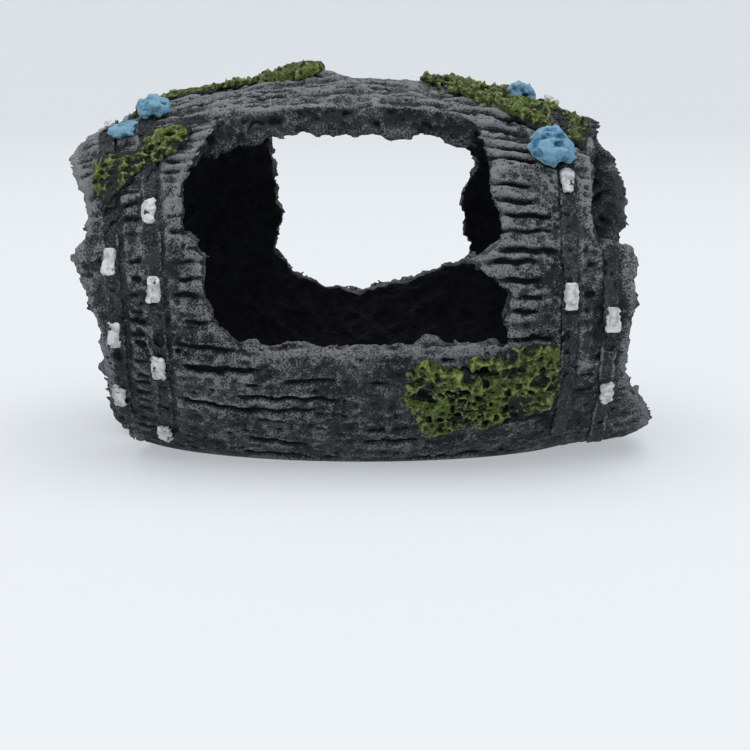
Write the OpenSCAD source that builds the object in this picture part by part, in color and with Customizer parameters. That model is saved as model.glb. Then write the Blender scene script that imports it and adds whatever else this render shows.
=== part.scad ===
// Broken-barrel cave ornament for an aquarium, lying on its side.
// +Z is up, the long axis of the barrel runs along X, the large front window faces -Y.
// The origin is on the ground under the middle of the barrel.  All sizes are millimetres.

/* [Barrel] */
// radius of the barrel at its belly
belly_r = 36; // [34:0.5:40]
// radius of the barrel at the distance end_x from its middle
end_r = 26.3; // [24:0.1:28]
// half length at which end_r is measured
end_x = 50; // [48:0.5:52]
// thickness of the wall at the sides
wall = 4.5; // [4:0.1:5]
// height of the barrel axis above the ground, which grinds a flat on the belly
axis_height = 30; // [29.5:0.1:31]
// thickness of the level floor inside the barrel
floor_t = 1.6; // [1.2:0.1:2.5]

/* [Windows] */
// distance from the axis to the upright broken face above the front window
front_break_y = 17; // [15:0.5:18]
// distance from the axis to the upright broken face above the back window
back_break_y = 18; // [16:0.5:20]

/* [Hoops] */
// width of each hoop strap
hoop_w = 2.5; // [2:0.1:3]
// thickness of each hoop strap
hoop_t = 0.45; // [0.3:0.05:0.6]
// distance between the two hoops of a pair
hoop_gap = 7.1; // [7:0.1:7.4]
// position along X of the inner left hoop on the barrel axis
hoop_left_x = -36.1; // [-36.5:0.1:-35.8]
// angle by which the left pair of hoops is turned about the vertical
hoop_left_skew = 7.5; // [6.5:0.5:8]
// angle by which the tops of the left pair of hoops lean outwards
hoop_left_lean = 3; // [0:0.5:4]
// position along X of the inner right hoop on the barrel axis
hoop_right_x = 34.8; // [34.4:0.1:35]
// angle by which the right pair of hoops is turned about the vertical
hoop_right_skew = 2.5; // [0:0.5:4]

/* [Rivets] */
// width of a rivet along the barrel
rivet_w = 2.3; // [1.8:0.1:2.8]
// length of a rivet around the barrel
rivet_l = 4.4; // [3:0.1:5]
// height of a rivet above the hoop
rivet_h = 0.7; // [0.4:0.1:1]

/* [Moss and stones] */
// thickness of the moss patches
moss_t = 1.3; // [0.8:0.1:2]
// scale of all the blue stones
stone_scale = 1; // [0.8:0.05:1.2]

/* [Hidden] */
$fn = 144;
arc_fn = 480;

// The barrel's outline is one arc along X.
bulge = belly_r - end_r;
arc_r = (end_x * end_x + bulge * bulge) / (2 * bulge);
reach = 60;
rivet_chamfer = 0.5;
// share of a pebble's height by which its middle stands off the barrel
bedding = 0.25;

charcoal = [0.22, 0.23, 0.24];
iron = [0.30, 0.31, 0.32];
paint_white = [0.90, 0.90, 0.88];
moss_green = [0.40, 0.50, 0.15];
stone_blue = [0.43, 0.68, 0.83];

// Broken edges of the two ends, as [x, height over the barrel axis] points from the bottom up.
front_left_edge = [[-36, -33.5], [-38, -28], [-39.7, -22.5], [-41.9, -17.5], [-41.6, -12.5],
                   [-42.6, -6], [-44.4, 0], [-47.3, 6.5], [-44.6, 10.5], [-45, 15.5],
                   [-46.8, 18], [-49.8, 22], [-48, 25.5], [-49, 27.5], [-48.5, 37.5]];
front_right_edge = [[50, -33.5], [51.5, -28.5], [53, -24.5], [52, -20.5], [48.5, -17.5],
                    [47, -12.5], [46.6, -5.5], [47.5, 0.5], [48, 6], [46.8, 8.5], [41.6, 9.3],
                    [40.6, 11.5], [40.3, 16.5], [40.6, 22.5], [41.6, 25.5], [43.2, 28],
                    [43.2, 37.5]];
back_left_edge = [[-41, -33.5], [-44.5, -26.5], [-49, -19.5], [-47.5, -13.5], [-51, -6.5],
                  [-49.8, 0.5], [-52, 5.5], [-50, 13.5], [-52, 18.5], [-49.5, 22.5],
                  [-51, 27.5], [-49, 37.5]];
back_right_edge = [[50, -33.5], [51, -27.5], [48, -22.5], [50, -16.5], [46.5, -10.5],
                   [44.5, -3.5], [48, 1.5], [52.2, 6.5], [52, 11.5], [50.8, 15], [49, 19],
                   [46.4, 22.5], [44, 26.5], [43.2, 28.5], [43.2, 37.5]];

// Broken edges of the two windows, as [x, height over the barrel axis] points going round.
front_window = [[-28, 19], [-27.7, 11.2], [-25.3, 9.7], [-23.7, 7], [-24.1, 2.4],
                [-22.2, -3.4], [-18.1, -7.5], [-10.7, -8.1], [-3.3, -7.7], [8.2, -7.4],
                [19.6, -6.5], [25.4, -7.1], [25.9, 2.2], [22.9, 3.9], [19.3, 6.9], [21.9, 8.1],
                [24.6, 10.2], [24.4, 15], [23.1, 18.1], [23.3, 22.8], [21, 27.5], [14, 35.5],
                [-19, 35.5], [-23.5, 27.5]];
back_window = [[-15.5, 35.5], [-17, 25.5], [-16.3, 10.5], [-15.3, 8.5], [-17.3, 0.5],
               [-12.3, -4.7], [-6.2, -7.5], [0, -8], [8, -6], [16.2, -3], [22.2, -1.5],
               [21.2, 4.5], [20.5, 12.5], [23, 18.5], [21, 21.5], [17, 23.5], [13, 26],
               [12, 35.5]];

// Angles of the rivets around each hoop, from the front (0) over the top (90) to the back (180).
rivets_left_outer_at = [-34, -11, 12, 75, 99, 125, 150, 176, 201];
rivets_left_inner_at = [-49, -20, 4, 27, 80, 104, 128, 152, 178];
rivets_right_inner_at = [2, 38, 86, 110, 141, 178];
rivets_right_outer_at = [-34, -6, 99, 128, 158, 183, 206];

// Outlines of the moss patches, as [x, height over the barrel axis] seen from the front or back,
// or [x, y] seen from above.
moss_front_left_edge = [[-43, 16.5], [-43.3, 21], [-41.5, 23.3], [-36.5, 24], [-34.5, 27.5],
                        [-28, 28.5], [-27.4, 26.1], [-31, 23.5], [-35.5, 21], [-38.5, 18],
                        [-40.7, 15.5]];
moss_top_left_edge = [[-43, 1], [-41, 6], [-38, 15], [-31, 22], [-24, 21], [-26, 15], [-30, 10],
                      [-24, 7], [-14, 7], [-6, 4], [-7, -2], [-13, -3], [-22, -2], [-32, -2],
                      [-39, -4]];
moss_top_right_edge = [[11, -1], [13, 3], [18, 3.5], [24, 0], [31, -4], [36, -8], [41, -13],
                       [39, -18], [34, -18], [29, -16], [22, -13], [14, -8]];
moss_front_right_edge = [[9, -11.5], [13, -9], [18, -10], [25, -7.5], [34.5, -7], [36, -14],
                         [33, -19], [25, -22.5], [13, -23], [8.5, -16.5]];
moss_back_right_edge = [[26, 14.5], [31, 17.5], [36, 16.5], [37.5, 11.5], [35, 7.5], [28, 7.5],
                        [25, 10.5]];
moss_back_left_edge = [[-19, 6.5], [-24, 11.5], [-31, 12.5], [-37, 8.5], [-40, 3.5],
                       [-36, -1.5], [-28, -2.5], [-21, 0.5]];

// The solid barrel, grown by grow all over.
module barrel(grow) {
    rotate([0, 90, 0])
        rotate_extrude()
            intersection() {
                translate([belly_r - arc_r, 0])
                    circle(r = arc_r + grow, $fn = arc_fn);
                translate([0, -reach])
                    square([belly_r + grow + 1, 2 * reach]);
            }
}

// The barrel standing on the ground flat, grown by grow.
module standing_barrel(grow) {
    intersection() {
        translate([0, 0, axis_height])
            barrel(grow);
        translate([-reach, -reach, 0])
            cube([2 * reach, 2 * reach, 2 * reach]);
    }
}

// An outline swept from the axis plane out to the front or the back.
module sweep_to_front(outline, from_y = 0) {
    translate([0, -from_y, axis_height])
        rotate([90, 0, 0])
            linear_extrude(reach)
                polygon(outline);
}

module sweep_to_back(outline, from_y = 0) {
    translate([0, reach, axis_height])
        rotate([90, 0, 0])
            linear_extrude(reach - from_y)
                polygon(outline);
}

function reversed(points) = [for (i = [len(points) - 1:-1:0]) points[i]];

// Everything between the broken ends.
module between_ends() {
    sweep_to_front(concat(front_left_edge, reversed(front_right_edge)));
    sweep_to_back(concat(back_left_edge, reversed(back_right_edge)));
}

// The hollow inside the wall, with a level floor over the ground flat.
module hollow() {
    intersection() {
        translate([0, 0, axis_height])
            barrel(-wall);
        translate([-reach, -reach, floor_t])
            cube([2 * reach, 2 * reach, 2 * reach]);
    }
}

module shell() {
    color(charcoal)
        difference() {
            intersection() {
                standing_barrel(0);
                between_ends();
            }
            hollow();
            sweep_to_front(front_window, front_break_y);
            sweep_to_back(back_window, back_break_y);
        }
}

// One hoop strap: the skin of the barrel that a flat, turned and leaning slab cuts out.
module strap(x, skew, lean = 0) {
    intersection() {
        difference() {
            standing_barrel(hoop_t);
            translate([0, 0, axis_height])
                barrel(0);
        }
        translate([x, 0, axis_height])
            rotate([0, -lean, skew])
                cube([hoop_w, 2 * reach, 2 * reach], center = true);
        between_ends();
    }
}

module hoop_left_outer() {
    color(iron)
        strap(hoop_left_x - hoop_gap, hoop_left_skew, hoop_left_lean);
}

module hoop_left_inner() {
    color(iron)
        strap(hoop_left_x, hoop_left_skew, hoop_left_lean);
}

module hoop_right_inner() {
    color(iron)
        strap(hoop_right_x, hoop_right_skew);
}

module hoop_right_outer() {
    color(iron)
        strap(hoop_right_x + hoop_gap, hoop_right_skew);
}

function barrel_r(x) = belly_r - arc_r + sqrt(arc_r * arc_r - x * x);

// Moves a piece to the barrel's surface at x and the given angle, standing on its Z axis.
module on_surface(x, angle, lift = 0) {
    slope = asin(x / arc_r);
    translate([x, 0, axis_height])
        rotate([90 - angle, 0, 0])
            translate([0, 0, barrel_r(x)])
                rotate([0, slope, 0])
                    translate([0, 0, lift])
                        children();
}

// One rivet with chamfered corners, on top of its hoop.
module rivet() {
    linear_extrude(rivet_h)
        intersection() {
            square([rivet_w, rivet_l], center = true);
            rotate(45)
                square((rivet_w + rivet_l) / sqrt(2) - rivet_chamfer, center = true);
        }
}

// Where a turned and leaning hoop crosses the given angle.
function hoop_x_at(x, skew, lean, angle) =
    x + barrel_r(x) * (tan(skew) * cos(angle) - tan(lean) * sin(angle));

module rivets(x, skew, lean, angles) {
    color(paint_white)
        for (angle = angles)
            on_surface(hoop_x_at(x, skew, lean, angle), angle, hoop_t)
                rivet();
}

module rivets_left_outer() {
    rivets(hoop_left_x - hoop_gap, hoop_left_skew, hoop_left_lean, rivets_left_outer_at);
}

module rivets_left_inner() {
    rivets(hoop_left_x, hoop_left_skew, hoop_left_lean, rivets_left_inner_at);
}

module rivets_right_inner() {
    rivets(hoop_right_x, hoop_right_skew, 0, rivets_right_inner_at);
}

module rivets_right_outer() {
    rivets(hoop_right_x + hoop_gap, hoop_right_skew, 0, rivets_right_outer_at);
}

// The skin that moss makes on the barrel, before its outline is cut.
module moss_skin() {
    difference() {
        translate([0, 0, axis_height])
            barrel(moss_t);
        translate([0, 0, axis_height])
            barrel(0);
    }
}

// One patch of moss: the skin inside the first child, without whatever stands through it.
module moss() {
    color(moss_green)
        difference() {
            intersection() {
                moss_skin();
                children(0);
            }
            if ($children > 1)
                children([1:$children - 1]);
        }
}

module above(outline) {
    translate([0, 0, axis_height])
        linear_extrude(reach)
            polygon(outline);
}

module moss_front_left() {
    moss() {
        sweep_to_front(moss_front_left_edge);
        hoop_left_outer();
        hoop_left_inner();
    }
}

module moss_top_left() {
    moss() {
        above(moss_top_left_edge);
        hoop_left_inner();
        rivets_left_inner();
        stone_back_left();
    }
}

module moss_top_right() {
    moss() {
        above(moss_top_right_edge);
        hoop_right_inner();
        rivets_right_inner();
        stone_right_high();
        stone_right_large();
    }
}

module moss_front_right() {
    moss() {
        sweep_to_front(moss_front_right_edge);
        hoop_right_inner();
    }
}

module moss_back_right() {
    moss() {
        sweep_to_back(moss_back_right_edge);
        hoop_right_inner();
        stone_back_right_high();
        stone_back_right_low();
    }
}

module moss_back_left() {
    moss() {
        sweep_to_back(moss_back_left_edge);
        hoop_left_inner();
    }
}

// A faceted pebble: three turned blocks cut each other's corners off.
module pebble(size) {
    intersection() {
        cube(size, center = true);
        rotate([35, 20, 40])
            cube(size * 1.12, center = true);
        rotate([-25, 40, -30])
            cube(size * 1.18, center = true);
    }
}

// A pebble bedded on the barrel; its underside is cut to the barrel and to any hoop it crosses.
module stone(x, angle, size, turn) {
    color(stone_blue)
        difference() {
            on_surface(x, angle, size[2] * bedding)
                rotate([0, 0, turn])
                    pebble(size * stone_scale);
            translate([0, 0, axis_height])
                barrel(0);
            children();
        }
}

module stone_left_high() {
    stone(-34.5, 70, [6.4, 5.6, 4.8], 15)
        hoop_left_inner();
}

module stone_left_flat() {
    stone(-38.8, 61, [6, 5, 3.6], -10)
        hoop_left_inner();
}

module stone_right_high() {
    stone(28.8, 79, [5, 4.4, 4.6], 25);
}

module stone_right_large() {
    stone(33.5, 48, [8.5, 7.5, 6], 30)
        hoop_right_inner();
}

module stone_back_left() {
    stone(-42, 123, [6.5, 6, 5.6], 40)
        hoop_left_inner();
}

module stone_back_right_high() {
    stone(26.3, 152, [5.4, 5, 5], 5);
}

module stone_back_right_low() {
    stone(30.2, 172, [7.5, 5, 4.6], -15)
        hoop_right_inner();
}

shell();
hoop_left_outer();
hoop_left_inner();
hoop_right_inner();
hoop_right_outer();
rivets_left_outer();
rivets_left_inner();
rivets_right_inner();
rivets_right_outer();
moss_front_left();
moss_top_left();
moss_top_right();
moss_front_right();
moss_back_right();
moss_back_left();
stone_left_high();
stone_left_flat();
stone_right_high();
stone_right_large();
stone_back_left();
stone_back_right_high();
stone_back_right_low();
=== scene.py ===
"""Visual model of the broken barrel cave ornament, sculpted over its CAD frame.

Every CAD node is turned into a level set (a grid of distances to its surface), carved and roughened
there, and turned back into a mesh, so the ragged CAD outlines stay and the relief runs over their edges.
At the end all the pieces are bent together, by 4 mm at most, because the real casting is uneven.
Sculpting works in millimetres and Blender in metres. Round the barrel's axis, an angle of 0 degrees is
the front, 90 the top, 180 the back and -90 the bottom.
"""

import math

import bpy
import numpy as np
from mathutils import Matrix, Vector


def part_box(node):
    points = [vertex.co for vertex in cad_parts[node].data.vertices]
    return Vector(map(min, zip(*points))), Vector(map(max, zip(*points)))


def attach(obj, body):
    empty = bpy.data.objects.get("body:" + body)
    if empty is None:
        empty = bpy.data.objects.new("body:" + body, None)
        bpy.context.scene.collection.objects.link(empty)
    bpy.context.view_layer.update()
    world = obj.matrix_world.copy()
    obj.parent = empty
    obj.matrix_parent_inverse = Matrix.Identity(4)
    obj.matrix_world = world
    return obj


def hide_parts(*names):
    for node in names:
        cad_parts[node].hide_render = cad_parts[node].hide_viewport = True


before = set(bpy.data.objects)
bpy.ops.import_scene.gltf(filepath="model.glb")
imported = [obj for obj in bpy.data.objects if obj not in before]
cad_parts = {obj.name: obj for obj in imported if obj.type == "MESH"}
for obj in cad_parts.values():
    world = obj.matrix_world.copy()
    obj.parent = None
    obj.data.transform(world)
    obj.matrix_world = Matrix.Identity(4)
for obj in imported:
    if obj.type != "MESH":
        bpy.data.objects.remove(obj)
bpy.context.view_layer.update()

import openvdb as vdb
from mathutils import Euler, Vector

MM = 1000.0
SEED = 20


# ---------------------------------------------------------------- the barrel, measured on the frame


def box_mm(node):
    """Lowest and highest corner of a CAD node, in millimetres."""
    low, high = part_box(node)
    return np.array(low) * MM, np.array(high) * MM


def node_points(node):
    """The points of a CAD node's mesh, in mm."""
    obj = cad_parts[node]
    points = np.empty(len(obj.data.vertices) * 3, dtype=np.float32)
    obj.data.vertices.foreach_get("co", points)
    matrix = np.array(obj.matrix_world, dtype=np.float32)
    return (points.reshape(-1, 3) @ matrix[:3, :3].T + matrix[:3, 3]) * MM


SHELL_LOW, SHELL_HIGH = box_mm("shell")
HOOP_LOW, HOOP_HIGH = box_mm("hoop_right_inner")
HOOP_X = (HOOP_LOW[0] + HOOP_HIGH[0]) / 2
HOOP_RADIUS = (HOOP_HIGH[1] - HOOP_LOW[1]) / 2
AXIS_Z = HOOP_HIGH[2] - HOOP_RADIUS
BELLY_RADIUS = SHELL_HIGH[2] - AXIS_Z
# The barrel's outer radius at x is BELLY_RADIUS - TAPER * x**2.
TAPER = (BELLY_RADIUS - HOOP_RADIUS) / HOOP_X**2
# A full turn in radians, and the way round the belly in mm.
FULL = 2 * math.pi
TURN = FULL * BELLY_RADIUS
# In mm: the casting's thickness, the level floor's height inside and half the windows' length along x.
WALL = 4.5
FLOOR = 1.6
WINDOW_HALF = 17.0


def around_at(angle):
    """The distance round the belly in mm, measured from the bottom, at an angle in radians."""
    return np.mod(angle + math.pi / 2, FULL) / FULL * TURN


def barrel_coordinates(points):
    """Angle in radians, distance round the belly in mm and depth under the outer skin in mm."""
    y = points[:, 1]
    z = points[:, 2] - AXIS_Z
    angle = np.arctan2(z, -y)
    depth = BELLY_RADIUS - TAPER * points[:, 0] ** 2 - np.hypot(y, z)
    return angle, around_at(angle), depth


class Hoop:
    """The slightly skewed plane that a hoop lies in: x = start + skew * y + lean * (height over the axis)."""

    def __init__(self, place):
        self.place = place
        self.node = "hoop_" + place
        points = node_points(self.node)
        sides = np.stack([np.ones(len(points)), points[:, 1], points[:, 2] - AXIS_Z], axis=1)
        (self.start, self.skew, self.lean), *_ = np.linalg.lstsq(sides, points[:, 0], rcond=None)
        spread = points[:, 0] - sides @ [self.start, self.skew, self.lean]
        self.half_width = float(np.percentile(np.abs(spread), 90))

    def across(self, points):
        """Distance along x from the hoop's middle, in mm."""
        return points[:, 0] - self.start - self.skew * points[:, 1] - self.lean * (points[:, 2] - AXIS_Z)

    def middle_at(self, angle):
        """The x of the hoop's middle at an angle in radians."""
        forward = HOOP_RADIUS * math.cos(angle)
        upward = HOOP_RADIUS * math.sin(angle)
        return self.start - self.skew * forward + self.lean * upward


HOOPS = [Hoop(place) for place in ("left_outer", "left_inner", "right_inner", "right_outer")]


# ---------------------------------------------------------------- noise and maps


def step(low, high, value):
    """0 below low, 1 above high, smooth in between. low may be above high, which turns it round."""
    t = np.clip((value - low) / (high - low), 0.0, 1.0)
    return t * t * (3.0 - 2.0 * t)


def noise(points, cell, seed):
    """Smooth noise from -1 to 1 at points (n, d). cell is the size of its lumps, or one size per axis."""
    scaled = points / np.asarray(cell, dtype=np.float32)
    whole = np.floor(scaled).astype(np.int32)
    part = scaled - whole
    part = part * part * (3.0 - 2.0 * part)
    whole -= whole.min(axis=0)
    size = whole.max(axis=0) + 2
    table = np.random.default_rng(seed).uniform(-1.0, 1.0, size).astype(np.float32).ravel()
    strides = np.array([np.prod(size[axis + 1 :]) for axis in range(len(size))], dtype=np.int64)
    start = whole @ strides
    total = np.zeros(len(points), dtype=np.float32)
    for corner in range(2 ** len(size)):
        weight = np.ones(len(points), dtype=np.float32)
        offset = 0
        for axis, stride in enumerate(strides):
            if corner >> axis & 1:
                weight *= part[:, axis]
                offset += stride
            else:
                weight *= 1.0 - part[:, axis]
        total += weight * table[start + offset]
    return total


def crags(points, cell, seed):
    """Noise from -0.5 to 0.5 with sharp crests, like broken stone."""
    return 0.5 - 2.0 * np.abs(noise(points, cell, seed)).clip(0.0, 0.5)


def box_blur(array, radius):
    """Mean over a window of 2 * radius + 1 cells along every axis."""
    for axis in range(array.ndim):
        moved = np.moveaxis(array, axis, 0)
        padded = np.concatenate([moved[:1].repeat(radius + 1, 0), moved, moved[-1:].repeat(radius, 0)])
        total = np.cumsum(padded, axis=0, dtype=np.float64)
        width = 2 * radius + 1
        moved = ((total[width:] - total[:-width]) / width).astype(np.float32)
        array = np.moveaxis(moved, 0, axis)
    return np.ascontiguousarray(array)


class Relief:
    """A height map over the unrolled outer skin, in mm: rows run along x and columns round the barrel."""

    PITCH = 0.15

    def __init__(self):
        self.x = np.arange(SHELL_LOW[0] - 3, SHELL_HIGH[0] + 3, self.PITCH, dtype=np.float32)
        columns = int(TURN / self.PITCH)
        self.around = np.linspace(0, TURN, columns, endpoint=False, dtype=np.float32)
        self.angle = self.around / TURN * FULL - math.pi / 2
        self.height = np.zeros((len(self.x), columns), dtype=np.float32)
        ring = np.stack([-np.cos(self.angle), np.sin(self.angle)], axis=1) * BELLY_RADIUS
        ring[:, 1] += AXIS_Z
        self.points = np.concatenate(
            [np.repeat(self.x, columns)[:, None], np.tile(ring, (len(self.x), 1))], axis=1
        ).astype(np.float32)

    def noise(self, cell, seed):
        """Noise over the map. It closes on itself, because it is taken on the barrel's round surface."""
        return noise(self.points, cell, seed).reshape(self.height.shape)

    def crags(self, cell, seed):
        """Sharp-crested noise over the map."""
        return crags(self.points, cell, seed).reshape(self.height.shape)

    def window(self, x, around, half_x, half_around):
        """The cells of a small area round a point, and their offsets from it in mm along x and round."""
        rows = np.flatnonzero(np.abs(self.x - x) < half_x)
        middle = int(around / self.PITCH)
        reach = int(half_around / self.PITCH) + 1
        columns = np.arange(middle - reach, middle + reach + 1)
        along = (self.x[rows] - x)[:, None]
        across = ((columns - middle) * self.PITCH - (around - middle * self.PITCH))[None, :]
        return np.ix_(rows, columns % self.height.shape[1]), along, across

    def crack(self, x, around, length, width, depth, slope=0.0, wave=0.0):
        """Carves one steep-sided crack that runs along the barrel and closes up at both ends."""
        half = length / 2
        grid, along, across = self.window(x, around, half, width + abs(slope) * half + abs(wave))
        taper = np.sqrt(np.clip(1.0 - (along / half) ** 4, 0.0, 1.0))
        middle = slope * along + wave * np.sin(along * 1.3 + around)
        across_ratio = np.abs(across - middle) / (width / 2 * (0.3 + 0.7 * taper))
        cut = depth * taper * np.clip(1.0 - across_ratio**3, 0.0, 1.0)
        self.height[grid] = np.where(cut > 0, self.height[grid] * 0.4 - cut, self.height[grid])

    def pit(self, x, around, radius, depth, rim=0.0):
        """Carves one round pit, with a raised rim round it."""
        grid, along, across = self.window(x, around, radius * 1.4, radius * 1.4)
        ratio = np.sqrt(along**2 + across**2) / radius
        bowl = np.clip(1.0 - ratio**4, 0.0, 1.0)
        raised = rim * np.clip(1.0 - ((ratio - 1.08) / 0.3) ** 2, 0.0, 1.0)
        lowered = np.where(ratio < 1.0, self.height[grid] * 0.5 - depth * bowl, self.height[grid])
        self.height[grid] = lowered + raised * (ratio >= 0.9)

    def sample(self, x, around, values):
        """Values of a map of this size at points of the skin."""
        row = np.clip((x - self.x[0]) / self.PITCH, 0, len(self.x) - 1.001)
        column = around / TURN * values.shape[1]
        row_index = row.astype(np.int32)
        column_index = column.astype(np.int32)
        row_part = row - row_index
        column_part = column - column_index
        column_index %= values.shape[1]
        next_column = (column_index + 1) % values.shape[1]
        low = values[row_index, column_index] * (1 - column_part)
        low += values[row_index, next_column] * column_part
        high = values[row_index + 1, column_index] * (1 - column_part)
        high += values[row_index + 1, next_column] * column_part
        return low * (1 - row_part) + high * row_part


def board_rows(rng, gap, variation):
    """Where one board ends and the next starts round the barrel, in mm, with boards about gap wide."""
    count = int(TURN / gap)
    widths = gap * rng.uniform(1 - variation, 1 + variation, count)
    return np.cumsum(widths) / widths.sum() * TURN


def board_profile(rows, warped):
    """0 between two boards to 1 on the middle of a board, and the number of the board."""
    number = np.searchsorted(rows, warped) % len(rows)
    start = np.concatenate([[0.0], rows[:-1]])[number]
    width = rows[number] - start
    t = np.clip((warped - start) / width, 0.0, 1.0)
    return 1.0 - np.abs(2.0 * t - 1.0) ** 6, number


# In mm round the barrel: the narrow slats beside the windows, and the boards everywhere else.
SLAT_WIDTH = 2.85
BOARD_WIDTH = 5.2
PITS = 5200
SHORT_CRACKS = 200
SLAT_ROWS = board_rows(np.random.default_rng(SEED), SLAT_WIDTH, 0.35)
LONG_ROWS = board_rows(np.random.default_rng(SEED + 1), BOARD_WIDTH, 0.45)
# How far each slat stands up or lies low, from -1 to 1.
SLAT_LEVELS = np.random.default_rng(SEED + 2).uniform(-1.0, 1.0, len(SLAT_ROWS)).astype(np.float32)


def outer_relief():
    """The weathered wood of the outer skin: boards, grain, cracks and pits."""
    relief = Relief()
    rng = np.random.default_rng(SEED + 3)
    x = relief.x[:, None]
    sine = np.sin(relief.angle)[None, :]
    on_side = step(-0.75, -0.35, sine) * step(1.0, 0.85, sine)
    beside = step(WINDOW_HALF - 4, WINDOW_HALF + 2, np.abs(x)) * on_side
    on_top = step(0.35, 0.75, sine)
    warp = 0.7 * relief.noise(9.0, 1) + 0.25 * relief.noise(3.0, 2)
    warped = np.mod(relief.around[None, :] + warp, TURN)
    slats, slat = board_profile(SLAT_ROWS, warped)
    boards, _ = board_profile(LONG_ROWS, warped)
    slat_height = 0.14 * (slats - 1) + 0.16 * SLAT_LEVELS[slat]
    board_height = 0.1 * (boards - 1)
    relief.height += beside * slat_height + (1 - beside) * board_height
    fine_grain = relief.noise((5.0, 0.75, 0.75), 3)
    coarse_grain = relief.noise((13.0, 1.9, 1.9), 4)
    relief.height += (0.05 + 0.1 * on_top) * fine_grain
    relief.height += (0.06 + 0.3 * on_top) * coarse_grain
    relief.height += (0.2 + 0.5 * on_top) * relief.crags((7.0, 2.6, 2.6), 7)
    relief.height += 0.4 * relief.noise(7.0, 5) + 0.25 * relief.crags(2.6, 6) + 0.22 * relief.crags(1.3, 8)
    carve_slat_cracks(relief, rng)
    carve_long_cracks(relief, rng)
    for _ in range(PITS):
        size = rng.uniform(0.2, 0.45) * (1.5 if rng.random() < 0.12 else 1.0)
        px = rng.uniform(SHELL_LOW[0], SHELL_HIGH[0])
        relief.pit(px, rng.uniform(0, TURN), size, size * rng.uniform(0.5, 1.1))
    for hoop in HOOPS:
        across = np.abs(hoop.across(relief.points)).reshape(relief.height.shape)
        under = step(hoop.half_width + 0.6, hoop.half_width + 0.1, across)
        relief.height = relief.height * (1 - under) - 0.25 * under
    return relief


def carve_slat_cracks(relief, rng):
    """Short deep cracks between the narrow slats: beside the windows, between the hoops and at the ends.

    A span has its start and end along x, the share of slats that it leaves out and the depth of its cracks.
    """
    # The cracks stay this far from a strap's middle, in mm.
    half_strap = 1.9
    for row in SLAT_ROWS:
        angle = row / TURN * FULL - math.pi / 2
        low = 0.6 * step(-0.3, -0.6, math.sin(angle))
        left_outer, left_inner, right_inner, right_outer = [hoop.middle_at(angle) for hoop in HOOPS]
        spans = [
            (SHELL_LOW[0], left_outer - half_strap, 0.5, 0.8),
            (left_outer + half_strap, left_inner - half_strap, 0.1, 0.8),
            (left_inner + half_strap, -WINDOW_HALF + 3, 0.2 + low, 1.3),
            (WINDOW_HALF - 3, right_inner - half_strap, 0.15 + low, 1.6),
            (right_inner + half_strap, right_outer - half_strap, 0.6, 0.8),
            (right_outer + half_strap, SHELL_HIGH[0], 0.6, 0.8),
        ]
        for start, end, skipped, depth in spans:
            if rng.random() < skipped:
                continue
            length = (end - start) * rng.uniform(0.6, 1.0)
            relief.crack(
                start + length / 2 + (end - start - length) * rng.random(),
                (row + rng.uniform(-0.35, 0.35)) % TURN,
                length,
                rng.uniform(0.8, 1.4),
                depth * rng.uniform(0.5, 1.1),
                slope=rng.uniform(-0.06, 0.06),
                wave=rng.uniform(0.05, 0.2),
            )


def carve_long_cracks(relief, rng):
    """Long cracks along the top, the back and the low front, with short ones between them."""
    for row in LONG_ROWS:
        x = -WINDOW_HALF - 6 + rng.uniform(-6, 8)
        while x < WINDOW_HALF + 6:
            length = rng.uniform(5, 18)
            relief.crack(
                x + length / 2,
                (row + rng.uniform(-1.4, 1.4)) % TURN,
                length,
                rng.uniform(0.9, 2.3),
                rng.uniform(0.5, 1.4),
                slope=rng.uniform(-0.1, 0.1),
                wave=rng.uniform(0.05, 0.25),
            )
            x += length + rng.uniform(4, 22)
    for _ in range(SHORT_CRACKS):
        relief.crack(
            rng.uniform(-WINDOW_HALF - 4, WINDOW_HALF + 4),
            rng.uniform(0, TURN),
            rng.uniform(1.5, 5),
            rng.uniform(0.4, 0.8),
            rng.uniform(0.3, 0.8),
            wave=0.1,
        )


# ---------------------------------------------------------------- level sets


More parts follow.
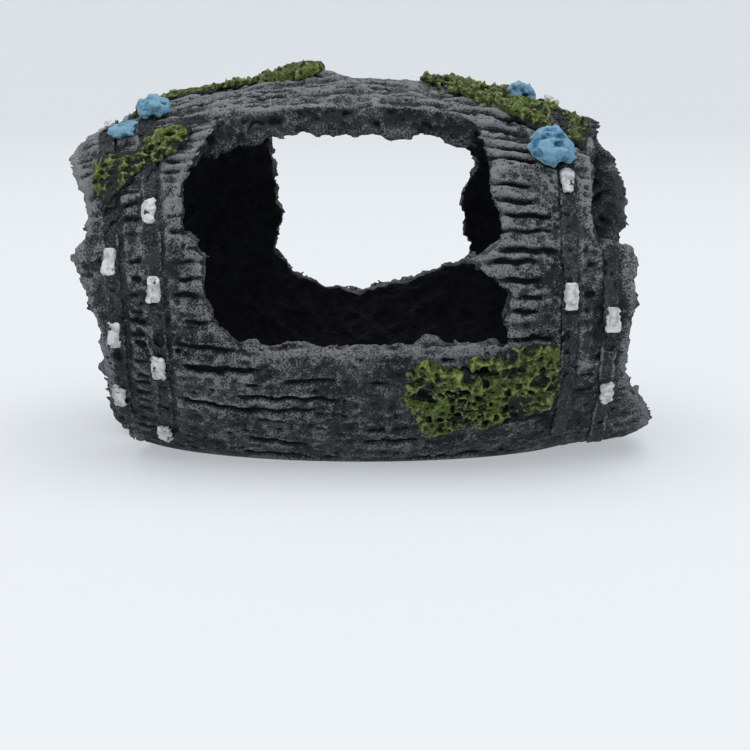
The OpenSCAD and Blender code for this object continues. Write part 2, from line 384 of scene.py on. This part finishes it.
class LevelSet:
    """A CAD node as a dense grid of distances to its surface, in mm: below 0 inside and above 0 outside."""

    def __init__(self, node, voxel, reach):
        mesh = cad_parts[node].data
        mesh.calc_loop_triangles()
        points = node_points(node).astype(np.float32)
        corners = np.empty(len(mesh.loop_triangles) * 3, dtype=np.int32)
        mesh.loop_triangles.foreach_get("vertices", corners)
        triangles = corners.reshape(-1, 3).astype(np.uint32)
        self.voxel = voxel
        self.reach = reach
        self.start = np.floor((points.min(axis=0) - reach) / voxel).astype(int) - 2
        size = np.ceil((points.max(axis=0) + reach) / voxel).astype(int) + 3 - self.start
        grid = vdb.FloatGrid.createLevelSetFromPolygons(
            points,
            triangles=triangles,
            transform=vdb.createLinearTransform(voxel),
            halfWidth=reach / voxel,
        )
        self.distance = np.zeros(size, dtype=np.float32)
        grid.copyToArray(self.distance, ijk=tuple(int(v) for v in self.start))
        np.clip(self.distance, -reach, reach, out=self.distance)

    def near(self):
        """Indices (n, 3) of the grid's cells within reach of the surface."""
        return np.argwhere(np.abs(self.distance) < self.reach * 0.98)

    def points(self, cells):
        """The places of cells, in mm."""
        return ((cells + self.start) * self.voxel).astype(np.float32)

    def spread(self, cells, values):
        """A grid that holds values at cells and 0 elsewhere."""
        grid = np.zeros_like(self.distance)
        grid[tuple(cells.T)] = values
        return grid

    def grow(self, cells, amount):
        """Moves the surface out by amount (mm, one per cell), or in where it is negative."""
        self.distance[tuple(cells.T)] -= amount.astype(np.float32)

    def normals(self, cells):
        """Unit directions away from the surface at cells."""
        steps = []
        for axis in range(3):
            ahead = cells.copy()
            behind = cells.copy()
            ahead[:, axis] = np.minimum(ahead[:, axis] + 1, self.distance.shape[axis] - 1)
            behind[:, axis] = np.maximum(behind[:, axis] - 1, 0)
            steps.append(self.distance[tuple(ahead.T)] - self.distance[tuple(behind.T)])
        direction = np.stack(steps, axis=1)
        length = np.linalg.norm(direction, axis=1, keepdims=True)
        return direction / np.maximum(length, 1e-6)

    def facing(self, cells, angle):
        """How far the surface at cells faces away from the axis: 1 outward, 0 sideways, -1 inward."""
        radial = np.stack([np.zeros_like(angle), -np.cos(angle), np.sin(angle)], axis=1)
        return np.einsum("ij,ij->i", self.normals(cells), radial)

    def sample(self, array, points):
        """Values of a grid of this size at points in mm."""
        place = points / self.voxel - self.start
        place = np.clip(place, 0, np.array(array.shape) - 1.001)
        whole = place.astype(np.int32)
        part = (place - whole).astype(np.float32)
        total = np.zeros(len(points), dtype=np.float32)
        for corner in range(8):
            offset = np.array([corner & 1, corner >> 1 & 1, corner >> 2 & 1])
            weight = np.prod(np.where(offset, part, 1.0 - part), axis=1)
            total += weight * array[tuple((whole + offset).T)]
        return total

    def smooth(self, radius):
        """Rounds edges over about radius mm."""
        cells = max(1, int(round(radius / self.voxel)))
        self.distance = box_blur(self.distance, cells)

    def mesh(self, smallest):
        """Points in mm and four-sided faces of the surface over the ground, without loose crumbs."""
        heights = (np.arange(self.distance.shape[2]) + self.start[2]) * self.voxel
        self.distance = np.maximum(self.distance, -heights[None, None, :].astype(np.float32))
        grid = vdb.FloatGrid(self.reach)
        grid.transform = vdb.createLinearTransform(self.voxel)
        grid.copyFromArray(self.distance, ijk=tuple(int(v) for v in self.start))
        points, _, quads = grid.convertToPolygons(isovalue=0.0, adaptivity=0.0)
        return drop_crumbs(points, quads[:, ::-1].astype(np.int64), smallest)


def drop_crumbs(points, faces, smallest):
    """Keeps the connected parts of a mesh that have at least smallest points."""
    label = np.arange(len(points))
    edges = np.concatenate([faces[:, [0, 1]], faces[:, [1, 2]], faces[:, [2, 3]]])
    while True:
        low = np.minimum(label[edges[:, 0]], label[edges[:, 1]])
        before = label.copy()
        np.minimum.at(label, edges[:, 0], low)
        np.minimum.at(label, edges[:, 1], low)
        label = label[label]
        label = label[label]
        if np.array_equal(before, label):
            break
    counts = np.bincount(label, minlength=len(points))
    keep = counts[label] >= smallest
    new_index = np.cumsum(keep) - 1
    faces = faces[keep[faces[:, 0]]]
    return points[keep], new_index[faces]


def ridge_values(level, points, radii):
    """How far each point stands out of its surroundings: 1 on ridges, 0.5 on flat skin, 0 in hollows."""
    total = np.zeros(len(points), dtype=np.float32)
    for radius in radii:
        cells = max(1, int(round(radius / level.voxel)))
        blurred = box_blur(box_blur(level.distance, cells), cells)
        total += level.sample(blurred, points) / (radius * len(radii))
    return np.clip(0.5 + total * 1.6, 0.0, 1.0)


def lobes(points, angle, places):
    """Broad lumps over the barrel. Each place is x in mm, angle in degrees, radius in mm and height in mm."""
    total = np.zeros(len(points), dtype=np.float32)
    for x, degrees, radius, height in places:
        turned = np.mod(angle - math.radians(degrees) + math.pi, FULL) - math.pi
        ratio = np.hypot(points[:, 0] - x, turned * BELLY_RADIUS) / radius
        total += height * step(1.0, 0.0, ratio)
    return total


# Unevenness of the real casting, as places for lobes(): SWELLINGS reach outward and PULLS reach along x.
FULL_LOWER_ENDS = [(48.0, -66.0, 15.0, 2.5), (36.0, -66.0, 12.0, 1.3), (-40.0, -66.0, 13.0, 1.6)]
LOW_LEFT_SHOULDER = [(-50.0, 86.0, 16.0, -3.0), (-42.0, 90.0, 9.0, -2.0)]
LOW_RIGHT_SHOULDER = [(44.0, 88.0, 9.0, -1.6), (47.5, 106.0, 15.0, -3.0)]
RISE_BY_TOP_MOSS = [(-6.0, 92.0, 7.0, 1.1)]
SWELLINGS = FULL_LOWER_ENDS + LOW_LEFT_SHOULDER + LOW_RIGHT_SHOULDER + RISE_BY_TOP_MOSS
PULLS = [
    (-48.0, -45.0, 10.0, 0.7),
    (-52.0, 92.0, 10.0, 1.5),
    (50.0, 108.0, 10.0, -1.5),
    (50.0, 148.0, 10.0, -0.9),
    (50.0, -8.0, 8.0, 1.0),
    (52.0, -50.0, 8.0, 0.8),
]


def bend(points):
    """Points of any piece moved with the uneven casting: out by its swellings and along x by its pulls.

    The swellings fade out close to the ground, so that the barrel's flat stays flat.
    """
    angle, _, _ = barrel_coordinates(points)
    outward = lobes(points, angle, SWELLINGS) * step(0.0, 6.0, points[:, 2])
    moved = points.astype(np.float32)
    moved[:, 0] += lobes(points, angle, PULLS)
    moved[:, 1] -= np.cos(angle) * outward
    moved[:, 2] += np.sin(angle) * outward
    return moved


def make_piece(name, points, faces, values, material, node):
    """A smooth mesh object from points in mm, in place of a CAD node. values are its point attributes."""
    mesh = bpy.data.meshes.new(name)
    mesh.vertices.add(len(points))
    mesh.vertices.foreach_set("co", (bend(points) / MM).ravel())
    mesh.loops.add(faces.size)
    mesh.loops.foreach_set("vertex_index", faces.astype(np.int32).ravel())
    mesh.polygons.add(len(faces))
    mesh.polygons.foreach_set("loop_start", np.arange(0, faces.size, 4, dtype=np.int32))
    mesh.update(calc_edges=True)
    mesh.polygons.foreach_set("use_smooth", np.ones(len(faces), dtype=bool))
    for label, numbers in values.items():
        attribute = mesh.attributes.new(label, "FLOAT", "POINT")
        attribute.data.foreach_set("value", numbers.astype(np.float32))
    mesh.materials.append(material)
    piece = bpy.data.objects.new(name, mesh)
    bpy.context.scene.collection.objects.link(piece)
    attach(piece, "root")
    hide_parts(node)
    return piece


def lay_flat(piece, points, faces, upper, shift=0.0):
    """Unrolls a piece round the barrel into a map for baked paint: upper faces left, the others right.

    shift (mm, a pair per point) slides the points of upper faces, so that steep faces get their own room.
    """
    gap = 2.0
    _, around, _ = barrel_coordinates(points)
    flat = np.stack([points[:, 0], around], axis=1)
    corners = np.where(upper[:, None, None], (flat + shift)[faces], flat[faces])
    first = corners[:, :1, 1]
    corners[..., 1] = first + np.mod(corners[..., 1] - first + TURN / 2, TURN) - TURN / 2
    corners -= corners.min(axis=(0, 1)) - gap
    width, height = corners.max(axis=(0, 1)) + gap
    corners[~upper, :, 0] += width
    layer = piece.data.uv_layers.new(name="OFBake")
    layer.uv.foreach_set("vector", (corners / max(2 * width, height)).astype(np.float32).ravel())


def voxel_size(fine):
    return fine


# ---------------------------------------------------------------- the sculpted pieces


# Turns noise away from the barrel's own directions, so that its dents don't stand in rows.
TILT = np.array(Euler((0.5, 0.35, 0.6)).to_matrix(), dtype=np.float32)
# How far from the middle daylight starts to reach the inside, and where it is full, in mm: the painted shade
# inside thins out between them.
DAYLIGHT_START = 40.0
DAYLIGHT_FULL = 48.0


def sculpt_shell(relief, material):
    """The cast shell, with wood relief outside, broken edges and a rough dark inside."""
    level = LevelSet("shell", voxel_size(0.35), reach=2.4)
    cells = level.near()
    points = level.points(cells)
    angle, around, depth = barrel_coordinates(points)
    normals = level.normals(cells)
    sideways = np.abs(normals[:, 0])
    edge = step(0.85, 0.45, np.abs(level.facing(cells, angle)))
    outer = step(WALL * 0.6, WALL * 0.25, depth)
    inner = step(WALL * 0.45, WALL * 0.8, depth)

    tilted = points @ TILT
    lumps = noise(tilted, 4.5, 11)
    craggy = crags(tilted, 3.2, 12)
    rough = crags(tilted, 1.5, 13)
    fine = noise(tilted, 0.8, 14)
    fibres = crags(tilted, (8.0, 1.6, 1.6), 15)
    carved = relief.sample(points[:, 0], around, relief.height) * (1 - 0.7 * edge)
    amount = outer * carved + 0.1 * fine + 0.15 * rough
    amount += inner * (0.5 * lumps + 0.4 * craggy)
    # Each slat ends a little further out or in than its neighbours.
    number = np.searchsorted(SLAT_ROWS, around) % len(SLAT_ROWS)
    teeth = 0.45 * SLAT_LEVELS[number] + 0.6 * craggy + 0.5 * lumps - 0.42
    amount += edge * sideways * teeth
    amount += edge * (1 - sideways) * (0.35 + 0.6 * lumps + 0.6 * fibres)
    amount += edge * (0.4 * rough + 0.25 * fine)
    amount = np.clip(amount, -level.reach * 0.9, level.reach * 0.85)
    off_ground = step(0.2, 1.6, points[:, 2])
    level.grow(cells, amount * off_ground)

    vertices, faces = level.mesh(smallest=400)
    _, _, depth = barrel_coordinates(vertices)
    broken = level.sample(level.spread(cells, edge), vertices)
    # Painted shade inside: full in the middle, and thinner near the open ends where daylight reaches in.
    shaded = 0.3 + 0.7 * step(DAYLIGHT_FULL, DAYLIGHT_START, np.abs(vertices[:, 0]))
    # Painted highlight: faces that point up get more of the light grey dry-brush, as if lit from above.
    upward = level.sample(level.spread(cells, normals[:, 2].clip(0.0, 1.0)), vertices)
    values = {
        "ridge": ridge_values(level, vertices, (0.7, 1.6)) + 0.26 * upward,
        # inner: the dark resin inside, made darker still by painted shade.
        "inner": step(1.6, WALL * 0.8, depth) * (1 - 0.85 * broken) * shaded,
        "broken": broken,
    }
    piece = make_piece("barrel_shell", vertices, faces, values, material, "shell")
    # Broken faces slide sideways on the paint map by their depth, which gives them room of their own.
    tangent = normals[:, 1] * np.sin(angle) + normals[:, 2] * np.cos(angle)
    slides = [level.sample(level.spread(cells, edge * part), vertices) for part in (normals[:, 0], tangent)]
    skin = (broken > 0.5) | (depth < WALL / 2) | (vertices[:, 2] < FLOOR / 2)
    lay_flat(piece, vertices, faces, skin[faces].sum(axis=1) > 2, np.stack(slides, axis=1) * depth[:, None])


# Where a rivet has dropped out of a hoop, in degrees.
MISSING_RIVETS = {"left_outer": -18.0, "left_inner": -11.5, "right_outer": -15.0}


def sculpt_hoop(hoop, material):
    """A thin strap round the barrel, with a raised line along both edges, and on some an empty socket."""
    level = LevelSet(hoop.node, voxel_size(0.22), reach=0.9)
    cells = level.near()
    points = level.points(cells)
    angle, _, depth = barrel_coordinates(points)
    across = np.abs(hoop.across(points))
    rim = step(hoop.half_width - 0.5, hoop.half_width - 0.25, across)
    amount = 0.18 * noise(points, 2.2, 21) + 0.3 * crags(points, 1.2, 22) + 0.1 * noise(points, 0.7, 24)
    # The raised lines stand out, and the whole strap thins out towards the ground.
    amount += step(0.1, -0.3, depth) * (0.25 * rim - 0.12) - 0.4 * step(5.0, 2.0, points[:, 2])
    if hoop.place in MISSING_RIVETS:
        beside = (math.radians(MISSING_RIVETS[hoop.place]) - angle) * BELLY_RADIUS
        amount -= 1.2 * step(1.15, 0.8, np.hypot(across / 0.8, beside / 1.3))
    level.grow(cells, amount)
    vertices, faces = level.mesh(smallest=60)
    rim = step(hoop.half_width - 0.5, hoop.half_width - 0.1, np.abs(hoop.across(vertices)))
    patchy = step(-0.3, 0.5, noise(vertices, 2.5, 23))
    values = {"ridge": 0.46 + 0.45 * rim * patchy}
    make_piece("strap_" + hoop.place, vertices, faces, values, material, hoop.node)


def sculpt_rivets(place, material):
    """The painted rivet heads of one hoop: uneven lozenges with chipped edges."""
    node = "rivets_" + place
    level = LevelSet(node, voxel_size(0.18), reach=0.7)
    cells = level.near()
    points = level.points(cells)
    level.grow(cells, 0.18 * noise(points, 1.5, 31) + 0.25 * crags(points, 0.9, 32))
    vertices, faces = level.mesh(smallest=40)
    values = {"ridge": ridge_values(level, vertices, (0.4,))}
    make_piece("rivet_heads_" + place, vertices, faces, values, material, node)


MOSS_PITS = 7000
# Where the moss is thicker, as places for lobes().
MOSS_LOBES = [(-11.0, 90.0, 6.5, 1.6), (-24.0, 88.0, 6.0, 0.3), (30.0, 85.0, 5.0, 0.4)]


def moss_map():
    """How the moss stands up over its base, in mm: a net of rims round pits of many sizes."""
    rng = np.random.default_rng(SEED + 5)
    net = Relief()
    net.height += 0.35 * net.noise(3.0, 41) + 0.35 * net.crags(1.5, 42) + 0.15 * net.noise(0.8, 45) - 0.25
    for _ in range(MOSS_PITS):
        size = rng.choice([0.4, 0.65, 1.0, 1.4], p=[0.45, 0.32, 0.16, 0.07]) * rng.uniform(0.8, 1.2)
        x = rng.uniform(SHELL_LOW[0], SHELL_HIGH[0])
        net.pit(x, rng.uniform(0, TURN), size, 0.4 + 0.5 * size, rim=0.2)
    net.height = net.height.clip(-0.75, 0.7)
    return net


def sculpt_moss(place, relief, net, detail, material):
    """One patch of moss: a pitted, lumpy skin with a ragged edge."""
    node = "moss_" + place
    level = LevelSet(node, voxel_size(0.27), reach=2.4)
    level.smooth(0.5)
    cells = level.near()
    points = level.points(cells)
    angle, around, depth = barrel_coordinates(points)
    proud = step(0.7, -0.3, depth)
    x = points[:, 0]
    under = relief.sample(x, around, relief.height).clip(-0.4, 1.0)
    amount = proud * (net.sample(x, around, net.height) + under)
    amount += proud * lobes(points, angle, MOSS_LOBES)
    amount += 0.3 + 0.4 * crags(points, 0.9, 43) + 0.3 * noise(points, 2.5, 44)
    level.grow(cells, amount.clip(-level.reach * 0.85, level.reach * 0.85))
    vertices, faces = level.mesh(smallest=60)
    _, around, depth = barrel_coordinates(vertices)
    values = {
        "ridge": np.clip(0.5 + 0.8 * net.sample(vertices[:, 0], around, detail), 0.0, 1.0),
        "height": np.clip(-depth / 1.5, 0.0, 1.0),
    }
    piece = make_piece("moss_patch_" + place, vertices, faces, values, material, node)
    facing = level.sample(level.spread(cells, level.facing(cells, angle)), vertices)
    lay_flat(piece, vertices, faces, facing[faces].mean(axis=1) > -0.2)


def sculpt_stone(place, seed, material):
    """One painted stone: a cluster of lumps with creases between them."""
    node = "stone_" + place
    level = LevelSet(node, voxel_size(0.22), reach=2.0)
    level.smooth(0.5)
    cells = level.near()
    points = level.points(cells)
    amount = 0.8 * np.abs(noise(points, 2.6, seed)) - 0.75
    amount += 0.4 * crags(points, 1.5, seed + 1) + 0.3 * noise(points, 0.8, seed + 2)
    level.grow(cells, amount)
    vertices, faces = level.mesh(smallest=200)
    values = {"ridge": ridge_values(level, vertices, (0.5, 1.2))}
    make_piece("blue_" + node, vertices, faces, values, material, node)


# ---------------------------------------------------------------- materials


class Shader:
    """Small helper that builds one node material."""

    def __init__(self, name):
        self.material = bpy.data.materials.new(name)
        self.material.use_nodes = True
        self.tree = self.material.node_tree
        self.surface = self.tree.nodes["Principled BSDF"]

    def node(self, kind, **settings):
        """A new node with these settings."""
        made = self.tree.nodes.new(kind)
        for key, value in settings.items():
            setattr(made, key, value)
        return made

    def put(self, socket, value):
        """Sets a socket to a number or colour, or links it to another socket."""
        if isinstance(value, bpy.types.NodeSocket):
            self.tree.links.new(value, socket)
        elif isinstance(value, tuple):
            socket.default_value = (*value, 1.0)
        else:
            socket.default_value = value

    def place(self):
        """The point on the object, in metres."""
        return self.node("ShaderNodeTexCoord").outputs["Object"]

    def value(self, name):
        """A number stored on the mesh's points."""
        return self.node("ShaderNodeAttribute", attribute_name=name).outputs["Fac"]

    def noise(self, scale, detail=4.0):
        """Noise with about scale lumps to the metre."""
        made = self.node("ShaderNodeTexNoise")
        self.put(made.inputs["Vector"], self.place())
        made.inputs["Scale"].default_value = scale
        made.inputs["Detail"].default_value = detail
        return made.outputs["Fac"]

    def cells(self, scale):
        """Distance to the nearest of scattered points, about scale of them to the metre."""
        made = self.node("ShaderNodeTexVoronoi")
        self.put(made.inputs["Vector"], self.place())
        made.inputs["Scale"].default_value = scale
        return made.outputs["Distance"]

    def veins(self, scale):
        """1 on thin wandering lines about 1 / scale metres apart, and 0 between them."""
        off_line = self.math("ABSOLUTE", self.math("SUBTRACT", self.noise(scale, 3.0), 0.5), 0.0)
        lines = self.ramp(off_line, 0.02, 0.0)
        return self.math("MULTIPLY", lines, self.ramp(self.noise(scale * 0.4), 0.42, 0.58))

    def math(self, operation, first, second):
        """One sum, product or the like."""
        made = self.node("ShaderNodeMath", operation=operation)
        self.put(made.inputs[0], first)
        self.put(made.inputs[1], second)
        return made.outputs[0]

    def ramp(self, value, low, high, start=0.0, end=1.0):
        """start below low and end above high, smooth in between."""
        made = self.node("ShaderNodeMapRange", interpolation_type="SMOOTHSTEP")
        self.put(made.inputs["Value"], value)
        for label, number in (("From Min", low), ("From Max", high), ("To Min", start), ("To Max", end)):
            made.inputs[label].default_value = number
        return made.outputs["Result"]

    def mix(self, factor, first, second):
        """first where factor is 0 and second where it is 1."""
        made = self.node("ShaderNodeMix", data_type="RGBA")
        self.put(made.inputs[0], factor)
        self.put(made.inputs[6], first)
        self.put(made.inputs[7], second)
        return made.outputs[2]

    def bump(self, height, distance, strength, under=None):
        """A bump, distance metres high where height is 1, on top of the bump under it."""
        made = self.node("ShaderNodeBump")
        made.inputs["Strength"].default_value = strength
        made.inputs["Distance"].default_value = distance
        self.put(made.inputs["Height"], height)
        if under is not None:
            self.put(made.inputs["Normal"], under)
        return made.outputs["Normal"]

    def finish(self, base, roughness, normal, specular=0.4):
        """Puts the results on the surface and returns the material."""
        self.put(self.surface.inputs["Base Color"], base)
        self.put(self.surface.inputs["Roughness"], roughness)
        self.put(self.surface.inputs["Normal"], normal)
        self.surface.inputs["Specular IOR Level"].default_value = specular
        return self.material


CHARCOAL = (0.013, 0.015, 0.018)
CHARCOAL_WORN = (0.034, 0.037, 0.041)
# Painted shade: near-black charcoal for the hollows, the pinholes and the inside.
CHARCOAL_SHADE = (0.002, 0.0025, 0.0042)
BRUSHED_GREY = (0.21, 0.225, 0.23)


def charcoal_material():
    """Dark cast resin, with light grey paint dry-brushed over its ridges, painted shade in its hollows,
    pinholes and inside, and a painted highlight on faces that point up.
    """
    shader = Shader("charcoal_resin")
    ridge = shader.value("ridge")
    inner = shader.value("inner")
    patches = shader.noise(160.0)
    specks = shader.noise(3200.0, 3.0)
    veins = shader.math("MAXIMUM", shader.veins(700.0), shader.veins(1300.0))
    pinholes = shader.ramp(shader.cells(1100.0), 0.24, 0.12)
    base = shader.mix(shader.ramp(patches, 0.35, 0.65), CHARCOAL, CHARCOAL_WORN)
    # Painted shade in the hollows, where the ridge value is low.
    base = shader.mix(shader.ramp(ridge, 0.46, 0.2), base, CHARCOAL_SHADE)
    brushed = shader.math("ADD", ridge, shader.ramp(specks, 0.38, 0.62, -0.2, 0.2))
    brushed = shader.math("ADD", brushed, shader.ramp(patches, 0.3, 0.7, -0.14, 0.06))
    brushed = shader.math("ADD", brushed, shader.math("MULTIPLY", veins, 0.7))
    brushed = shader.math("SUBTRACT", brushed, shader.math("MULTIPLY", shader.value("broken"), 0.32))
    dry = shader.ramp(brushed, 0.6, 1.15, 0.0, 0.95)
    outside = shader.ramp(inner, 0.1, 0.9, 1.0, 0.05)
    base = shader.mix(shader.math("MULTIPLY", dry, outside), base, BRUSHED_GREY)
    # Painted shade in the pinholes.
    base = shader.mix(shader.math("MULTIPLY", pinholes, 0.85), base, CHARCOAL_SHADE)
    # Painted shade deep inside the barrel, over its dark resin; the dry-brush fades there too.
    base = shader.mix(shader.ramp(inner, 0.4, 1.0, 0.0, 0.92), base, CHARCOAL_SHADE)
    roughness = shader.ramp(shader.noise(600.0), 0.3, 0.7, 0.5, 0.8)
    normal = shader.bump(shader.noise(1500.0, 5.0), 0.0006, 0.9)
    normal = shader.bump(pinholes, -0.0002, 0.7, under=normal)
    normal = shader.bump(veins, 0.00012, 0.7, under=normal)
    return shader.finish(base, roughness, normal, specular=0.16)


def hoop_material():
    """Dark resin of the straps, light only along their raised lines."""
    shader = Shader("hoop_resin")
    ridge = shader.value("ridge")
    specks = shader.noise(2600.0, 4.0)
    base = shader.mix(shader.ramp(shader.noise(250.0), 0.35, 0.65), CHARCOAL, CHARCOAL_WORN)
    brushed = shader.math("ADD", ridge, shader.ramp(specks, 0.38, 0.62, -0.24, 0.24))
    brushed = shader.math("ADD", brushed, shader.math("MULTIPLY", shader.veins(900.0), 0.4))
    base = shader.mix(shader.ramp(brushed, 0.52, 1.1, 0.0, 0.9), base, BRUSHED_GREY)
    normal = shader.bump(specks, 0.0006, 0.9)
    return shader.finish(base, shader.ramp(specks, 0.3, 0.7, 0.5, 0.75), normal, specular=0.16)


def white_material():
    """Thick white paint, chipped down to the dark resin."""
    shader = Shader("white_paint")
    worn = shader.ramp(shader.value("ridge"), 0.2, 0.6, -0.1, 0.03)
    chips = shader.math("ADD", shader.noise(700.0, 6.0), worn)
    base = shader.mix(shader.ramp(shader.noise(900.0), 0.35, 0.65), (0.36, 0.37, 0.38), (0.68, 0.69, 0.70))
    base = shader.mix(shader.ramp(chips, 0.43, 0.38), base, CHARCOAL_WORN)
    normal = shader.bump(shader.noise(1300.0, 4.0), 0.0005, 0.8)
    return shader.finish(base, shader.ramp(chips, 0.35, 0.5, 0.8, 0.55), normal, specular=0.3)


def moss_material():
    """Olive and yellow-green paint on the moss ridges, with painted shade in its pits."""
    shader = Shader("moss_paint")
    ridge = shader.value("ridge")
    patches = shader.noise(180.0)
    specks = shader.noise(2000.0, 4.0)
    veins = shader.veins(800.0)
    pinholes = shader.ramp(shader.cells(750.0), 0.34, 0.2)
    base = shader.mix(shader.ramp(patches, 0.35, 0.65), (0.030, 0.046, 0.010), (0.075, 0.108, 0.018))
    lit = shader.math("ADD", ridge, shader.ramp(specks, 0.35, 0.65, -0.22, 0.22))
    lit = shader.math("ADD", lit, shader.math("MULTIPLY", veins, 0.35))
    base = shader.mix(shader.ramp(lit, 0.5, 1.0), base, (0.21, 0.26, 0.08))
    # Painted shade in the pits and pinholes, darker than the bare resin.
    base = shader.mix(shader.ramp(lit, 0.42, 0.1), base, (0.005, 0.007, 0.004))
    base = shader.mix(shader.math("MULTIPLY", pinholes, 0.85), base, (0.008, 0.011, 0.006))
    base = shader.mix(shader.ramp(shader.value("height"), 0.12, 0.0), base, (0.012, 0.014, 0.012))
    normal = shader.bump(specks, 0.0006, 0.8)
    normal = shader.bump(pinholes, -0.0003, 0.8, under=normal)
    return shader.finish(base, shader.ramp(patches, 0.3, 0.7, 0.5, 0.75), normal, specular=0.25)


def blue_material():
    """Sky-blue paint, with a painted highlight on the lumps and painted shade in the creases."""
    shader = Shader("blue_stone")
    ridge = shader.value("ridge")
    patches = shader.noise(450.0)
    specks = shader.noise(2400.0, 3.0)
    base = shader.mix(shader.ramp(patches, 0.35, 0.65), (0.030, 0.14, 0.25), (0.075, 0.23, 0.37))
    lit = shader.math("ADD", ridge, shader.ramp(specks, 0.3, 0.7, -0.18, 0.18))
    # Painted highlight on the lumps, and painted shade in the creases.
    base = shader.mix(shader.ramp(lit, 0.5, 0.9, 0.0, 0.7), base, (0.22, 0.42, 0.54))
    base = shader.mix(shader.ramp(lit, 0.45, 0.15), base, (0.015, 0.05, 0.09))
    base = shader.mix(shader.ramp(shader.noise(420.0, 2.0), 0.70, 0.74), base, (0.08, 0.06, 0.03))
    normal = shader.bump(shader.noise(1400.0, 5.0), 0.0007, 1.0)
    return shader.finish(base, shader.ramp(patches, 0.3, 0.7, 0.5, 0.7), normal, specular=0.3)


def paper_material():
    """Plain pale studio paper that glows a little, so that shadows on it stay faint."""
    shader = Shader("studio_paper")
    base = shader.mix(shader.noise(3.0), (0.39, 0.40, 0.41), (0.40, 0.41, 0.42))
    shader.surface.inputs["Emission Color"].default_value = (0.90, 0.95, 1.0, 1.0)
    shader.surface.inputs["Emission Strength"].default_value = 0.42
    return shader.finish(base, 0.9, shader.bump(shader.noise(400.0), 0.00005, 0.1), specular=0.1)


# ---------------------------------------------------------------- studio


# The photograph's view: distances in metres, the lens in mm and the shift as a share of the picture.
TARGET = Vector((0.001, 0.0, (AXIS_Z + 1.3) / MM))
CAMERA_DISTANCE = 0.310
CAMERA_AZIMUTH = math.radians(1.5)
CAMERA_ELEVATION = math.radians(8.0)
LENS = 81.3
CAMERA_SHIFT = (0.0187, -0.1427)


def make_camera():
    """The camera stands slightly above the ornament's front."""
    data = bpy.data.cameras.new("camera")
    data.lens = LENS
    data.shift_x, data.shift_y = CAMERA_SHIFT
    data.clip_start = 0.01
    data.clip_end = 20.0
    camera = bpy.data.objects.new("camera", data)
    bpy.context.scene.collection.objects.link(camera)
    level = math.cos(CAMERA_ELEVATION)
    back = Vector(
        (math.sin(CAMERA_AZIMUTH) * level, -math.cos(CAMERA_AZIMUTH) * level, math.sin(CAMERA_ELEVATION))
    )
    camera.location = TARGET + back * CAMERA_DISTANCE
    camera.rotation_mode = "QUATERNION"
    camera.rotation_quaternion = (-back).to_track_quat("-Z", "Y")
    bpy.context.scene.camera = camera


def make_light(name, place, size, watts):
    """A square soft light that faces the ornament."""
    data = bpy.data.lights.new(name, "AREA")
    data.shape = "SQUARE"
    data.size = size
    data.energy = watts
    light = bpy.data.objects.new(name, data)
    light.location = place
    light.rotation_mode = "QUATERNION"
    light.rotation_quaternion = (Vector(place) - TARGET).to_track_quat("Z", "Y")
    bpy.context.scene.collection.objects.link(light)


def make_paper_bowl():
    """A pale round floor whose rim curves up all round, so that no view shows a horizon."""
    flat_radius = 1.0
    curve_radius = 0.5
    rim_height = 0.9
    arc = [math.radians(a) for a in range(0, 91, 10)]
    profile = [(0.4, 0.0), (0.8, 0.0)]
    profile += [
        (flat_radius + curve_radius * math.sin(a), curve_radius * (1 - math.cos(a))) for a in arc
    ]
    profile.append((flat_radius + curve_radius, rim_height))
    sides = 96
    points = [
        (r * math.cos(FULL * i / sides), r * math.sin(FULL * i / sides), z)
        for r, z in profile
        for i in range(sides)
    ]
    rings = len(profile)
    faces = [tuple(range(sides))]
    faces += [
        (k * sides + i, (k + 1) * sides + i, (k + 1) * sides + (i + 1) % sides, k * sides + (i + 1) % sides)
        for k in range(rings - 1)
        for i in range(sides)
    ]
    mesh = bpy.data.meshes.new("paper_bowl")
    mesh.from_pydata(points, [], faces)
    mesh.polygons.foreach_set("use_smooth", [True] * len(faces))
    mesh.materials.append(paper_material())
    bowl = bpy.data.objects.new("paper_bowl", mesh)
    bpy.context.scene.collection.objects.link(bowl)


def make_studio():
    """A pale floor under soft light from all round."""
    make_paper_bowl()
    make_light("top_light", place=(0.0, -0.1, 1.1), size=1.6, watts=15.0)
    make_light("front_light", place=(-0.35, -0.8, 0.75), size=0.6, watts=0.6)
    world = bpy.data.worlds.new("studio")
    world.use_nodes = True
    background = world.node_tree.nodes["Background"]
    background.inputs["Color"].default_value = (0.94, 0.97, 1.0, 1.0)
    background.inputs["Strength"].default_value = 0.35
    bpy.context.scene.world = world
    bpy.context.scene.view_settings.view_transform = "Standard"


MOSS_PLACES = ("front_left", "top_left", "top_right", "front_right", "back_right", "back_left")
STONE_PLACES = (
    "left_high",
    "left_flat",
    "right_high",
    "right_large",
    "back_left",
    "back_right_high",
    "back_right_low",
)
STONE_SEED = 60


def make_ornament():
    """All the sculpted pieces."""
    relief = outer_relief()
    sculpt_shell(relief, charcoal_material())
    strap_paint = hoop_material()
    white = white_material()
    for hoop in HOOPS:
        sculpt_hoop(hoop, strap_paint)
        sculpt_rivets(hoop.place, white)
    net = moss_map()
    # The rims and pits alone, without the broad lumps.
    detail = net.height - box_blur(net.height, radius=7)
    green = moss_material()
    for place in MOSS_PLACES:
        sculpt_moss(place, relief, net, detail, green)
    blue = blue_material()
    for number, place in enumerate(STONE_PLACES):
        sculpt_stone(place, STONE_SEED + 3 * number, blue)


make_camera()
make_studio()
make_ornament()
